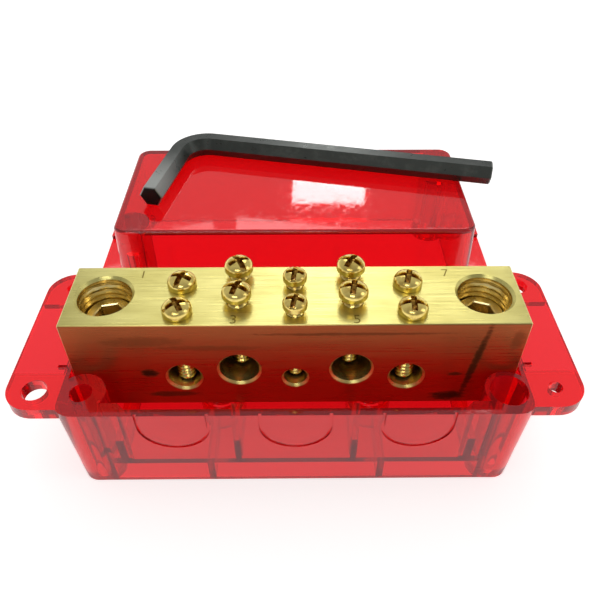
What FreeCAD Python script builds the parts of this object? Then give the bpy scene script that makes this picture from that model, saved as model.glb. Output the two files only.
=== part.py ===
"""Power distribution block: a brass link bar in a red two-part moulded case.

The origin is the middle of the underside of the base. +X runs along the bar, +Y from the
base towards the cover that lies beside it, and +Z is up. All sizes are in millimetres.
"""
import FreeCAD, Part
import math
import os

import Sketcher
from FreeCAD import Placement, Rotation, Vector

PARTS_FOLDER = "parts"

# Every size that can be set by itself stands here once, with the words that name it.
SIZES = {
    # Link bar, a rectangle of drawn brass
    "bar_length": 100.0,
    "bar_depth": 19.2,
    "bar_height": 26.0,
    "bar_edge": 0.25,
    "bar_middle_y": -2.3,
    "bar_underside": 15.4,
    # Tunnels across the bar: large beside the small middle one, medium outside
    "tunnel_pitch": 12.6,
    "large_tunnel": 9.0,
    "large_tunnel_drop": 14.2,
    "medium_tunnel": 7.5,
    "medium_tunnel_drop": 16.7,
    "small_tunnel": 5.3,
    "small_tunnel_drop": 17.0,
    "tunnel_bevel": 0.6,
    # Clamp screws, one pair over each tunnel
    "clamp_spacing": 8.7,
    "large_clamp_inset": 7.4,
    "small_clamp_inset": 4.1,
    "clamp_thread": 4.7,
    "clamp_length": 19.7,
    "clamp_head": 6.5,
    "clamp_head_height": 2.9,
    "clamp_head_round": 1.5,
    "middle_clamp_thread": 3.9,
    "middle_clamp_length": 20.4,
    "middle_clamp_head": 5.4,
    "middle_clamp_head_height": 2.5,
    "clamp_tip_gap": 0.8,
    "clamp_tip_bevel": 0.5,
    "thread_clearance": 0.05,
    "recess_width": 1.15,
    "recess_length": 3.7,
    "recess_depth": 1.5,
    "slot_length": 5.0,
    "slot_depth": 0.7,
    # Mains screws and the tunnels that they close, one at each end of the bar
    "mains_inset": 8.0,
    "mains_thread": 12.0,
    "mains_mouth_bevel": 0.6,
    "mains_screw_drop": 5.7,
    "mains_screw_height": 7.6,
    "mains_tunnel": 10.0,
    "mains_tunnel_drop": 18.8,
    "mains_tunnel_depth": 18.5,
    "socket_width": 6.0,
    "socket_clearance": 0.1,
    "socket_depth": 4.5,
    # Screws that hold the bar down from under the base
    "fixing_spread": 18.9,
    "fixing_thread": 4.0,
    "fixing_length": 12.0,
    "fixing_head": 7.6,
    "fixing_head_height": 2.6,
    "fixing_seat": 9.4,
    "fixing_head_room": 0.4,
    "fixing_hole_extra": 0.8,
    "post_wall": 1.3,
    # Case outline, the same at the rims of base and cover: its length follows from the bar's
    "bar_end_gap": 0.13,
    "case_width": 48.0,
    "case_corner": 5.0,
    "case_draft": 2.4,
    "wall": 1.8,
    "rim_height": 26.6,
    "floor_top": 8.4,
    "floor_thickness": 2.0,
    "skirt_rib": 1.6,
    "skirt_rib_spread": 20.0,
    "cover_height": 30.0,
    "roof_thickness": 2.0,
    "roof_edge": 1.0,
    "cover_middle_y": 59.1,
    # Ears past both ends, with thick pads at their corners and a thin web between
    "ear_reach": 11.2,
    "ear_setback": 1.8,
    "ear_corner": 6.5,
    "ear_web": 1.6,
    "ear_pad": 3.0,
    "ear_pad_width": 10.85,
    "ear_hole_end_inset": 6.3,
    "ear_hole_side_inset": 5.4,
    "ear_hole": 5.6,
    "ear_pilot": 3.1,
    # Corner bosses of the case
    "boss_end_inset": 5.5,
    "boss_side_inset": 6.4,
    "boss": 10.8,
    "cover_screw_hole": 5.0,
    "cover_screw_pilot": 3.4,
    "cover_pilot_depth": 20.0,
    "panel_well": 8.4,
    "panel_well_draft": 0.8,
    "panel_seat": 2.6,
    "panel_hole": 4.4,
    "gusset_length": 11.1,
    "gusset_slope": 2.6,
    "gusset_depth": 1.7,
    # Ribs and cable knock-outs of the base
    "knockout_pitch": 26.5,
    "knockout": 15.2,
    "knockout_drop": 4.4,
    "knockout_score": 0.7,
    "knockout_score_depth": 0.5,
    "wall_rib": 1.3,
    "wall_rib_depth": 1.5,
    "support_rib": 1.8,
    "trim_gap": 0.02,
    # Hexagon key, resting on the cover
    "key_long_arm": 97.0,
    "key_short_arm": 33.0,
    "key_bend": 9.0,
    "key_end_bevel": 0.4,
    "key_corner_x": -35.0,
    "key_corner_y": 81.4,
    "key_turn": 11.9,
}

# Turn of each clamp screw's long slot as it was left by the screwdriver, front then rear, in degrees.
CLAMP_TURNS = [(29.0, 70.0), (-20.0, -61.0), (75.0, 80.0), (-10.0, -30.0), (-3.0, -15.0)]
MAINS_TURNS = [12.0, 41.0]
FIXING_TURNS = [20.0, 65.0]
# The middle screws are the next size down, and so is the recess in their heads.
MIDDLE_RECESS_SCALE = 0.85


class Size:
    """A length held as a number and as the formula that gives it from the sheet."""

    def __init__(self, text, number):
        self.text = text
        self.number = number

    @staticmethod
    def of(value):
        """Takes a plain number as a size, and leaves a size as it is."""
        if isinstance(value, Size):
            return value
        return Size(repr(float(value)), float(value))

    def joined(self, sign, other, number):
        return Size(f"({self.text} {sign} {other.text})", number)

    def __add__(self, other):
        other = Size.of(other)
        return self.joined("+", other, self.number + other.number)

    def __sub__(self, other):
        other = Size.of(other)
        return self.joined("-", other, self.number - other.number)

    def __rsub__(self, other):
        return Size.of(other) - self

    def __mul__(self, other):
        other = Size.of(other)
        return self.joined("*", other, self.number * other.number)

    def __truediv__(self, other):
        other = Size.of(other)
        return self.joined("/", other, self.number / other.number)

    def __neg__(self):
        return self * -1


class Sheet:
    """The spreadsheet of driving sizes, read as attributes."""

    def __init__(self, document):
        cells = document.addObject("Spreadsheet::Sheet", "Sizes")
        for row, (name, number) in enumerate(SIZES.items(), start=1):
            cells.set(f"A{row}", name.replace("_", " "))
            cells.set(f"B{row}", str(number))
            cells.setAlias(f"B{row}", name)
        document.recompute()
        self.cells = cells

    def __getattr__(self, name):
        return Size(f"Sizes.{name}", float(self.cells.get(name)))


doc = FreeCAD.newDocument("power_distribution_block")
size = Sheet(doc)
ROOT_POINT = (-1, 1)
X_LINE = -1
Y_LINE = -2


def slope(angle, run):
    """How far a drafted face leans over a run along the draw."""
    tangent = math.tan(math.radians(angle.number))
    return Size(f"(tan({angle.text} * 1 deg) * {run.text})", tangent * run.number)


def plane_of(body, role):
    """The body's own origin plane with that role."""
    return next(plane for plane in body.Origin.OriginFeatures if plane.Role == role)


def new_body(label):
    body = doc.addObject("PartDesign::Body", label)
    body.Label = label
    return body


def new_sketch(body, name, height=None, role="XY_Plane"):
    """A sketch on one of the body's planes, moved along its normal by a bound height."""
    sketch = body.newObject("Sketcher::SketchObject", name)
    sketch.AttachmentSupport = (plane_of(body, role), [""])
    sketch.MapMode = "FlatFace"
    if height is not None:
        sketch.setExpression(".AttachmentOffset.Base.z", height.text)
    return sketch


def bind_dimension(sketch, kind, places, length):
    """Adds one dimension to a sketch and ties it to its formula."""
    index = sketch.addConstraint(Sketcher.Constraint(kind, *places, length.number))
    name = f"size_{index}"
    sketch.renameConstraint(index, name)
    sketch.setExpression(f"Constraints.{name}", length.text)


def pin_point(sketch, line, end, x, y):
    """Fixes one point of a sketch at bound coordinates; a zero lies on the axis."""
    for kind, axis, place in (("DistanceX", Y_LINE, x), ("DistanceY", X_LINE, y)):
        place = Size.of(place)
        if place.text == Size.of(0).text:
            sketch.addConstraint(Sketcher.Constraint("PointOnObject", line, end, axis))
        else:
            bind_dimension(sketch, kind, (*ROOT_POINT, line, end), place)


def draw_circle(sketch, x, y, diameter):
    centre = Vector(Size.of(x).number, Size.of(y).number, 0)
    line = sketch.addGeometry(Part.Circle(centre, Vector(0, 0, 1), diameter.number / 2))
    bind_dimension(sketch, "Diameter", (line,), diameter)
    pin_point(sketch, line, 3, x, y)


def draw_outline(sketch, points):
    """A closed outline of straight lines through bound points."""
    places = [(Size.of(x), Size.of(y)) for x, y in points]
    first = None
    count = len(places)
    for index, (x, y) in enumerate(places):
        next_x, next_y = places[(index + 1) % count]
        start = Vector(x.number, y.number, 0)
        end = Vector(next_x.number, next_y.number, 0)
        line = sketch.addGeometry(Part.LineSegment(start, end))
        if first is None:
            first = line
        else:
            sketch.addConstraint(Sketcher.Constraint("Coincident", line - 1, 2, line, 1))
        pin_point(sketch, line, 1, x, y)
    sketch.addConstraint(Sketcher.Constraint("Coincident", first + count - 1, 2, first, 1))


def draw_box(sketch, left, right, low, high):
    draw_outline(sketch, [(left, low), (right, low), (right, high), (left, high)])


def draw_round_box(sketch, half_x, half_y, radius):
    """A rectangle about the origin with four equal round corners."""
    corners = [(1, 1, 0), (-1, 1, 90), (-1, -1, 180), (1, -1, 270)]
    axis = Vector(0, 0, 1)
    arcs = []
    for x_sign, y_sign, start in corners:
        middle_x = x_sign * (half_x.number - radius.number)
        middle_y = y_sign * (half_y.number - radius.number)
        circle = Part.Circle(Vector(middle_x, middle_y, 0), axis, radius.number)
        begin, finish = math.radians(start), math.radians(start + 90)
        arcs.append(sketch.addGeometry(Part.ArcOfCircle(circle, begin, finish)))
    lines = []
    for index, arc in enumerate(arcs):
        following = arcs[(index + 1) % 4]
        start = sketch.getPoint(arc, 2)
        end = sketch.getPoint(following, 1)
        line = sketch.addGeometry(Part.LineSegment(start, end))
        sketch.addConstraint(Sketcher.Constraint("Tangent", arc, 2, line, 1))
        sketch.addConstraint(Sketcher.Constraint("Tangent", line, 2, following, 1))
        lines.append(line)
    for line in (lines[0], lines[2]):
        sketch.addConstraint(Sketcher.Constraint("Horizontal", line))
    for line in (lines[1], lines[3]):
        sketch.addConstraint(Sketcher.Constraint("Vertical", line))
    for arc in arcs[1:]:
        sketch.addConstraint(Sketcher.Constraint("Equal", arcs[0], arc))
    bind_dimension(sketch, "Radius", (arcs[0],), radius)
    bind_dimension(sketch, "DistanceY", (*ROOT_POINT, lines[0], 1), half_y)
    bind_dimension(sketch, "DistanceX", (*ROOT_POINT, lines[1], 1), -half_x)
    bind_dimension(sketch, "DistanceY", (*ROOT_POINT, lines[2], 1), -half_y)
    bind_dimension(sketch, "DistanceX", (*ROOT_POINT, lines[3], 1), half_x)


def draw_hexagon(sketch, width):
    """A regular hexagon about the origin, its flats facing along the sketch's Y."""
    root_three = 3.0 ** 0.5
    half = width / 2
    half_side = width / (2 * root_three)
    point = width / root_three
    draw_outline(sketch, [
        (point, 0), (half_side, half), (-half_side, half),
        (-point, 0), (-half_side, -half), (half_side, -half),
    ])


def draw_u(sketch, x, low, radius, score, top):
    """A U-shaped band: two uprights joined by a half ring, open at the top."""
    reaches = [radius + score / 2, radius - score / 2]
    centre = Vector(x.number, low.number, 0)
    sides = []
    for reach in reaches:
        circle = Part.Circle(centre, Vector(0, 0, 1), reach.number)
        arc = sketch.addGeometry(Part.ArcOfCircle(circle, math.pi, 2 * math.pi))
        bind_dimension(sketch, "Radius", (arc,), reach)
        pin_point(sketch, arc, 3, x, low)
        uprights = []
        for end, sign in ((1, -1), (2, 1)):
            foot = sketch.getPoint(arc, end)
            head = Vector(x.number + sign * reach.number, top.number, 0)
            line = sketch.addGeometry(Part.LineSegment(foot, head))
            sketch.addConstraint(Sketcher.Constraint("Tangent", arc, end, line, 1))
            sketch.addConstraint(Sketcher.Constraint("Vertical", line))
            bind_dimension(sketch, "DistanceY", (*ROOT_POINT, line, 2), top)
            uprights.append(line)
        sides.append(uprights)
    for outer, inner in zip(*sides):
        start = sketch.getPoint(outer, 2)
        end = sketch.getPoint(inner, 2)
        line = sketch.addGeometry(Part.LineSegment(start, end))
        sketch.addConstraint(Sketcher.Constraint("Coincident", outer, 2, line, 1))
        sketch.addConstraint(Sketcher.Constraint("Coincident", line, 2, inner, 2))


def add_pad(body, sketch, length, down=False, taper=None):
    """Adds material from a sketch, upwards unless told down; taper leans the sides inwards."""
    pad = body.newObject("PartDesign::Pad", f"{sketch.Name}_pad")
    pad.Profile = sketch
    pad.Reversed = down
    pad.setExpression("Length", length.text)
    if taper is not None:
        pad.setExpression("TaperAngle", f"-1 * {taper.text}")
    return pad


def cut_pocket(body, sketch, length=None, up=False, taper=None, both=False):
    """Cuts a sketch downwards, upwards or both ways; no length cuts right through."""
    pocket = body.newObject("PartDesign::Pocket", f"{sketch.Name}_cut")
    pocket.Profile = sketch
    pocket.Reversed = up
    if length is None:
        pocket.Type = "ThroughAll"
    else:
        pocket.setExpression("Length", length.text)
    if both:
        pocket.Midplane = True
    if taper is not None:
        pocket.setExpression("TaperAngle", f"-1 * {taper.text}")
    return pocket


def edges_at(feature, wanted):
    """Names of the feature's edges that pass a test of the edge."""
    doc.recompute()
    edges = feature.Shape.Edges
    return [f"Edge{index}" for index, edge in enumerate(edges, start=1) if wanted(edge)]


def finish_edges(body, kind, feature, wanted, amount):
    """Rounds or bevels the chosen edges of a feature by a bound amount."""
    names = edges_at(feature, wanted)
    dressed = body.newObject(f"PartDesign::{kind}", f"{feature.Name}_{kind.lower()}")
    dressed.Base = (feature, names)
    dressed.setExpression("Radius" if kind == "Fillet" else "Size", amount.text)
    return dressed


def is_ring(edge, radius, height=None):
    """Tests for a circle of one radius, and of one height where that is given."""
    curve = edge.Curve
    if not isinstance(curve, Part.Circle):
        return False
    if abs(curve.Radius - radius.number) > 1e-4:
        return False
    return height is None or abs(curve.Center.z - Size.of(height).number) < 1e-4


def place(body, x=0.0, y=0.0, z=0.0, turn=0.0):
    """Sets a body down at bound coordinates, turned about its own upright axis in degrees."""
    turn = Size.of(turn)
    x, y, z = Size.of(x), Size.of(y), Size.of(z)
    spot = Vector(x.number, y.number, z.number)
    body.Placement = Placement(spot, Rotation(Vector(0, 0, 1), turn.number))
    for axis, length in (("x", x), ("y", y), ("z", z)):
        body.setExpression(f".Placement.Base.{axis}", length.text)


# Values that several pieces share
bar_top = size.bar_underside + size.bar_height
bar_front = size.bar_middle_y - size.bar_depth / 2
half_bar = size.bar_length / 2
lean_past_bar = slope(size.case_draft, size.rim_height - size.bar_underside)
half_length = half_bar + size.bar_end_gap + size.wall + lean_past_bar
half_width = size.case_width / 2
half_ear_length = half_length + size.ear_reach
half_ear_width = half_width - size.ear_setback
ear_hole_x = half_ear_length - size.ear_hole_end_inset
ear_hole_y = half_ear_width - size.ear_hole_side_inset
boss_x = half_length - size.boss_end_inset
boss_y = half_width - size.boss_side_inset

# Each way of the bar: its place along X, tunnel, depth of the tunnel's centre, clamp inset
SIDE_WAYS = (size.medium_tunnel, size.medium_tunnel_drop, size.small_clamp_inset)
LARGE_WAYS = (size.large_tunnel, size.large_tunnel_drop, size.large_clamp_inset)
MIDDLE_WAY = (size.small_tunnel, size.small_tunnel_drop, size.small_clamp_inset)
WAY_SIZES = (SIDE_WAYS, LARGE_WAYS, MIDDLE_WAY, LARGE_WAYS, SIDE_WAYS)
MIDDLE_INDEX = 2
WAYS = [
    (size.tunnel_pitch * (index - MIDDLE_INDEX), *way_sizes)
    for index, way_sizes in enumerate(WAY_SIZES)
]
ENDS = (("left", -1), ("right", 1))
ROWS = (("front", -1), ("rear", 1))


def clamp_sizes(index):
    """Thread, length, head and head height of the screws of one way."""
    if index == MIDDLE_INDEX:
        return (size.middle_clamp_thread, size.middle_clamp_length,
                size.middle_clamp_head, size.middle_clamp_head_height)
    return size.clamp_thread, size.clamp_length, size.clamp_head, size.clamp_head_height


def clamp_rows(inset):
    """The Y of the front and of the rear screw of a way."""
    front = bar_front + inset
    return ("front", front), ("rear", front + size.clamp_spacing)


def make_link_bar():
    """The drawn brass bar with its tunnels, its tapped holes and their bevelled mouths."""
    body = new_body("link_bar")
    rear = bar_front + size.bar_depth
    profile = new_sketch(body, "bar_profile", size.bar_underside)
    draw_box(profile, -half_bar, half_bar, bar_front, rear)
    bar = add_pad(body, profile, size.bar_height)
    last = finish_edges(body, "Chamfer", bar, lambda edge: True, size.bar_edge)

    for index, (x, bore, drop, inset) in enumerate(WAYS):
        level = bar_top - drop
        tunnel = new_sketch(body, f"tunnel_{index + 1}", role="XZ_Plane")
        draw_circle(tunnel, x, level, bore)
        last = cut_pocket(body, tunnel, size.case_width * 2, both=True)
        last = finish_edges(
            body, "Chamfer", last,
            lambda edge, x=x, bore=bore: (
                is_ring(edge, bore / 2)
                and abs(edge.Curve.Center.x - Size.of(x).number) < 1e-4
                and abs(abs(edge.Curve.Axis.y) - 1) < 1e-6
            ),
            size.tunnel_bevel,
        )
        thread = clamp_sizes(index)[0] + size.thread_clearance * 2
        for row, y in clamp_rows(inset):
            hole = new_sketch(body, f"clamp_hole_{index + 1}_{row}", bar_top)
            draw_circle(hole, x, y, thread)
            last = cut_pocket(body, hole, drop)

    for side, sign in ENDS:
        x = (half_bar - size.mains_inset) * sign
        bore = size.mains_thread
        hole = new_sketch(body, f"mains_hole_{side}", bar_top)
        draw_circle(hole, x, size.bar_middle_y, bore)
        last = cut_pocket(body, hole, size.mains_tunnel_drop)
        last = finish_edges(
            body, "Chamfer", last,
            lambda edge, x=x, bore=bore: (
                is_ring(edge, bore / 2, bar_top) and abs(edge.Curve.Center.x - x.number) < 1e-4
            ),
            size.mains_mouth_bevel,
        )
        tunnel = new_sketch(body, f"mains_tunnel_{side}", half_bar * sign, role="YZ_Plane")
        draw_circle(tunnel, size.bar_middle_y, bar_top - size.mains_tunnel_drop, size.mains_tunnel)
        last = cut_pocket(body, tunnel, size.mains_tunnel_depth, up=sign < 0)
        radius = size.mains_tunnel / 2
        last = finish_edges(
            body, "Chamfer", last,
            lambda edge, sign=sign, radius=radius: (
                is_ring(edge, radius) and abs(edge.Curve.Center.x - (half_bar * sign).number) < 1e-4
            ),
            size.tunnel_bevel,
        )
        fixing = new_sketch(body, f"fixing_hole_{side}", size.bar_underside)
        draw_circle(fixing, size.fixing_spread * sign, size.bar_middle_y,
                    size.fixing_thread + size.thread_clearance * 2)
        reach = size.fixing_seat + size.fixing_length - size.bar_underside
        last = cut_pocket(body, fixing, reach + size.fixing_hole_extra, up=True)
    return body


def cut_cross(body, last, top, scale=1.0, slot=True):
    """Sinks a cross recess into a screw's head, with one longer, shallower slot across it."""
    width = size.recess_width * scale
    length = size.recess_length * scale
    arms = [(length, width, size.recess_depth), (width, length, size.recess_depth)]
    if slot:
        arms.append((size.slot_length * scale, width, size.slot_depth))
    for number, (reach, across, depth) in enumerate(arms, start=1):
        arm = new_sketch(body, f"{body.Name}_arm_{number}", top)
        draw_box(arm, -reach / 2, reach / 2, -across / 2, across / 2)
        last = cut_pocket(body, arm, depth)
    return last


def make_headed_screw(label, thread, length, head, head_height, recess_scale=1.0, slot=True):
    """A pan-headed screw, its head's underside at the body's origin and its tip below."""
    body = new_body(label)
    shank = new_sketch(body, f"{label}_shank")
    draw_circle(shank, 0, 0, thread)
    add_pad(body, shank, length, down=True)
    crown = new_sketch(body, f"{label}_crown")
    draw_circle(crown, 0, 0, head)
    last = add_pad(body, crown, head_height)
    last = finish_edges(
        body, "Fillet", last,
        lambda edge: is_ring(edge, head / 2, head_height), size.clamp_head_round,
    )
    last = finish_edges(
        body, "Chamfer", last,
        lambda edge: is_ring(edge, thread / 2, -length), size.clamp_tip_bevel,
    )
    cut_cross(body, last, head_height, recess_scale, slot)
    return body


def make_clamp_screws():
    """Ten clamp screws, driven down until each tip almost meets its tunnel's floor."""
    screws = []
    for index, (x, bore, drop, inset) in enumerate(WAYS):
        thread, length, head, head_height = clamp_sizes(index)
        scale = MIDDLE_RECESS_SCALE if index == MIDDLE_INDEX else 1.0
        tip = bar_top - drop - bore / 2 + size.clamp_tip_gap
        for (row, y), turn in zip(clamp_rows(inset), CLAMP_TURNS[index]):
            label = f"clamp_screw_{index + 1}_{row}"
            body = make_headed_screw(label, thread, length, head, head_height, scale)
            place(body, x, y, tip + length, turn)
            screws.append(body)
    return screws


def make_mains_screws():
    """Two headless socket screws, sunk in the tapped holes above the mains tunnels."""
    screws = []
    for (side, sign), turn in zip(ENDS, MAINS_TURNS):
        body = new_body(f"mains_screw_{side}")
        blank = new_sketch(body, f"mains_blank_{side}")
        outer = size.mains_thread - size.thread_clearance * 2
        draw_circle(blank, 0, 0, outer)
        last = add_pad(body, blank, size.mains_screw_height, down=True)
        last = finish_edges(
            body, "Chamfer", last, lambda edge: is_ring(edge, outer / 2), size.clamp_tip_bevel,
        )
        socket = new_sketch(body, f"mains_socket_{side}")
        draw_hexagon(socket, size.socket_width + size.socket_clearance * 2)
        cut_pocket(body, socket, size.socket_depth)
        x = (half_bar - size.mains_inset) * sign
        place(body, x, size.bar_middle_y, bar_top - size.mains_screw_drop, turn)
        screws.append(body)
    return screws


def make_bar_fixing_screws():
    """Two screws that come up through the base's posts into the underside of the bar."""
    screws = []
    for (side, sign), turn in zip(ENDS, FIXING_TURNS):
        body = make_headed_screw(
            f"bar_fixing_screw_{side}", size.fixing_thread, size.fixing_length,
            size.fixing_head, size.fixing_head_height, 1.0, slot=False,
        )
        place(body, size.fixing_spread * sign, size.bar_middle_y, size.fixing_seat)
        upside_down = Rotation(Vector(1, 0, 0), 180) * Rotation(Vector(0, 0, 1), turn)
        body.Placement = Placement(body.Placement.Base, upside_down)
        screws.append(body)
    return screws


def draw_case_outline(sketch, inset=None):
    """The case's rim outline, or the same drawn in by an inset on every side."""
    if inset is None:
        draw_round_box(sketch, half_length, half_width, size.case_corner)
    else:
        draw_round_box(sketch, half_length - inset, half_width - inset, size.case_corner - inset)


def cut_ear_webs(body, level, up):
    """Thins the middle of both ears on the side away from the parting plane."""
    reach = half_ear_width - size.ear_pad_width
    for side, sign in ENDS:
        web = new_sketch(body, f"{body.Name}_web_{side}", level)
        inner = half_length * sign
        outer = (half_ear_length + size.wall) * sign
        left, right = (inner, outer) if sign > 0 else (outer, inner)
        draw_box(web, left, right, -reach, reach)
        cut_pocket(body, web, size.ear_pad - size.ear_web, up=up)


def drill_ears(body, level, up):
    """Two holes in each ear: a clearance hole and, across the case from it, a pilot hole."""
    for side, x_sign in ENDS:
        for row, y_sign in ROWS:
            bore = size.ear_hole if x_sign == y_sign else size.ear_pilot
            hole = new_sketch(body, f"{body.Name}_ear_hole_{side}_{row}", level)
            draw_circle(hole, ear_hole_x * x_sign, ear_hole_y * y_sign, bore)
            cut_pocket(body, hole, size.ear_pad, up=up)


def trim_to_draft(body, name, start, narrowing, length, down):
    """Cuts off what stands out past the drafted outside of the case, apart from the ears."""
    sketch = new_sketch(body, name, start)
    inset = narrowing - size.trim_gap
    draw_round_box(sketch, half_length - inset, half_width - inset, size.case_corner - inset)
    far_x = half_length * 2
    far_y = half_width * 2
    draw_box(sketch, -far_x, far_x, -far_y, far_y)
    pocket = cut_pocket(body, sketch, length, up=not down)
    pocket.setExpression("TaperAngle", size.case_draft.text)
    return pocket


def make_base():
    """The base: a drafted tub with ears, corner bosses, ribs, bar posts and scored knock-outs."""
    body = new_body("base_housing")
    rim = size.rim_height
    plate = new_sketch(body, "base_ear_plate", rim)
    draw_round_box(plate, half_ear_length, half_ear_width, size.ear_corner)
    add_pad(body, plate, size.ear_pad, down=True)
    outside = new_sketch(body, "base_outside", rim)
    draw_case_outline(outside)
    add_pad(body, outside, rim, down=True, taper=size.case_draft)
    cut_ear_webs(body, rim - size.ear_pad, up=True)
    inside = new_sketch(body, "base_inside", rim)
    draw_case_outline(inside, size.wall)
    cut_pocket(body, inside, rim - size.floor_top, taper=size.case_draft)

    skirt_inset = slope(size.case_draft, rim) + size.wall
    skirt_x = half_length - skirt_inset
    skirt_y = half_width - skirt_inset
    rib = size.skirt_rib / 2
    spread = size.skirt_rib_spread
    ceiling = size.floor_top - size.floor_thickness
    pockets = [(-skirt_x, -spread - rib), (-spread + rib, spread - rib), (spread + rib, skirt_x)]
    for number, (left, right) in enumerate(pockets, start=1):
        hollow = new_sketch(body, f"base_hollow_{number}")
        draw_box(hollow, left, right, -skirt_y, skirt_y)
        cut_pocket(body, hollow, ceiling, up=True)

    for side, sign in ENDS:
        for row, y_sign in ROWS:
            boss = new_sketch(body, f"base_boss_{side}_{row}")
            draw_circle(boss, boss_x * sign, boss_y * y_sign, size.boss)
            add_pad(body, boss, rim)
            gusset = new_sketch(body, f"base_gusset_{side}_{row}", size.floor_top)
            gusset_start = boss_x - size.gusset_length
            outer_y = (half_width - size.wall / 2) * y_sign
            inner_y = (half_width - size.wall - size.gusset_depth) * y_sign
            draw_outline(gusset, [
                (gusset_start * sign, outer_y),
                ((gusset_start + size.gusset_slope) * sign, inner_y),
                (boss_x * sign, inner_y),
                (boss_x * sign, outer_y),
            ])
            add_pad(body, gusset, rim - size.floor_top)
            wall_rib = new_sketch(body, f"base_wall_rib_{side}_{row}", size.floor_top)
            rib_x = size.knockout_pitch / 2 * sign
            rib_half = size.wall_rib / 2
            rib_root = (half_width - size.wall / 2) * y_sign
            rib_face = (half_width - size.wall - size.wall_rib_depth) * y_sign
            low, high = (rib_root, rib_face) if y_sign < 0 else (rib_face, rib_root)
            draw_box(wall_rib, rib_x - rib_half, rib_x + rib_half, low, high)
            add_pad(body, wall_rib, rim - size.floor_top)

    support_half = size.support_rib / 2
    support_y = half_width - size.wall - size.wall_rib_depth
    for side, sign in ENDS:
        for step in (0.5, 1.5):
            support = new_sketch(body, f"base_support_{side}_{int(step + 0.5)}", size.floor_top)
            x = size.knockout_pitch * (step * sign)
            draw_box(support, x - support_half, x + support_half, -support_y, support_y)
            add_pad(body, support, size.bar_underside - size.floor_top)
        post = new_sketch(body, f"base_post_{side}")
        bore = size.fixing_head + size.fixing_head_room * 2
        draw_circle(post, size.fixing_spread * sign, size.bar_middle_y, bore + size.post_wall * 2)
        add_pad(body, post, size.bar_underside)

    ear_underside = rim - size.ear_pad
    trim_to_draft(body, "base_trim", Size.of(0), slope(size.case_draft, rim), ear_underside, down=False)

    for side, sign in ENDS:
        for row, y_sign in ROWS:
            x = boss_x * sign
            y = boss_y * y_sign
            hole = new_sketch(body, f"base_boss_hole_{side}_{row}", rim)
            if sign == y_sign:
                draw_circle(hole, x, y, size.cover_screw_hole)
                cut_pocket(body, hole, rim)
            else:
                draw_circle(hole, x, y, size.panel_well)
                cut_pocket(body, hole, rim - size.panel_seat, taper=size.panel_well_draft)
                seat = new_sketch(body, f"base_panel_hole_{side}_{row}", rim)
                draw_circle(seat, x, y, size.panel_hole)
                cut_pocket(body, seat, rim)
        access = new_sketch(body, f"base_access_{side}")
        x = size.fixing_spread * sign
        draw_circle(access, x, size.bar_middle_y, size.fixing_head + size.fixing_head_room * 2)
        cut_pocket(body, access, size.fixing_seat, up=True)
        shank = new_sketch(body, f"base_shank_hole_{side}")
        draw_circle(shank, x, size.bar_middle_y, size.fixing_thread + size.fixing_head_room)
        cut_pocket(body, shank, size.bar_underside, up=True)
    drill_ears(body, rim, up=False)
    score_knockouts(body)
    return body


def score_knockouts(body):
    """Scores a U for each cable entry: three in each long wall and one in each end wall."""
    rim = size.rim_height
    low = rim - size.knockout_drop
    depth = size.knockout_score_depth
    radius = size.knockout / 2
    lean = slope(size.case_draft, size.knockout_drop)
    draft = size.case_draft
    long_places = [size.knockout_pitch * step for step in (-1, 0, 1)]
    long_reach = half_width - lean - depth
    end_reach = half_length - lean - depth
    walls = [
        ("front", "XZ_Plane", long_reach, 1, long_places),
        ("rear", "XZ_Plane", long_reach, -1, long_places),
        ("left", "YZ_Plane", end_reach, -1, [size.bar_middle_y]),
        ("right", "YZ_Plane", end_reach, 1, [size.bar_middle_y]),
    ]
    for wall, role, reach, outward, places in walls:
        for number, middle in enumerate(places, start=1):
            score = new_sketch(body, f"base_score_{wall}_{number}", role=role)
            spot = Vector(0, low.number, outward * reach.number)
            score.AttachmentOffset = Placement(spot, Rotation(Vector(outward, 0, 0), draft.number))
            score.setExpression(".AttachmentOffset.Base.y", low.text)
            score.setExpression(".AttachmentOffset.Base.z", (reach * outward).text)
            score.setExpression(".AttachmentOffset.Rotation.Angle", draft.text)
            top = size.knockout_drop + size.wall
            draw_u(score, middle, Size.of(0), radius, size.knockout_score, top)
            cut_pocket(body, score, depth * 4, up=outward > 0)


def make_cover():
    """The cover: a drafted lid with a closed roof, ears and two blind screw bosses."""
    body = new_body("cover_housing")
    height = size.cover_height
    floor = Size.of(0)
    plate = new_sketch(body, "cover_ear_plate")
    draw_round_box(plate, half_ear_length, half_ear_width, size.ear_corner)
    add_pad(body, plate, size.ear_pad)
    outside = new_sketch(body, "cover_outside")
    draw_case_outline(outside)
    last = add_pad(body, outside, height, taper=size.case_draft)
    finish_edges(
        body, "Fillet", last,
        lambda edge: abs(edge.BoundBox.ZMin - height.number) < 1e-4, size.roof_edge,
    )
    cut_ear_webs(body, size.ear_pad, up=False)
    inside = new_sketch(body, "cover_inside")
    draw_case_outline(inside, size.wall)
    cut_pocket(body, inside, height - size.roof_thickness, up=True, taper=size.case_draft)
    corners = [(-1, -1), (1, 1)]
    for number, (x_sign, y_sign) in enumerate(corners, start=1):
        boss = new_sketch(body, f"cover_boss_{number}")
        draw_circle(boss, boss_x * x_sign, boss_y * y_sign, size.boss)
        add_pad(body, boss, height - size.roof_thickness / 2)
    top_inset = slope(size.case_draft, height)
    trim_to_draft(body, "cover_trim", height, top_inset, height - size.ear_pad, down=True)
    for number, (x_sign, y_sign) in enumerate(corners, start=1):
        pilot = new_sketch(body, f"cover_pilot_{number}")
        draw_circle(pilot, boss_x * x_sign, boss_y * y_sign, size.cover_screw_pilot)
        cut_pocket(body, pilot, size.cover_pilot_depth, up=True)
    drill_ears(body, floor, up=True)
    place(body, 0, size.cover_middle_y, 0)
    return body


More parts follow.
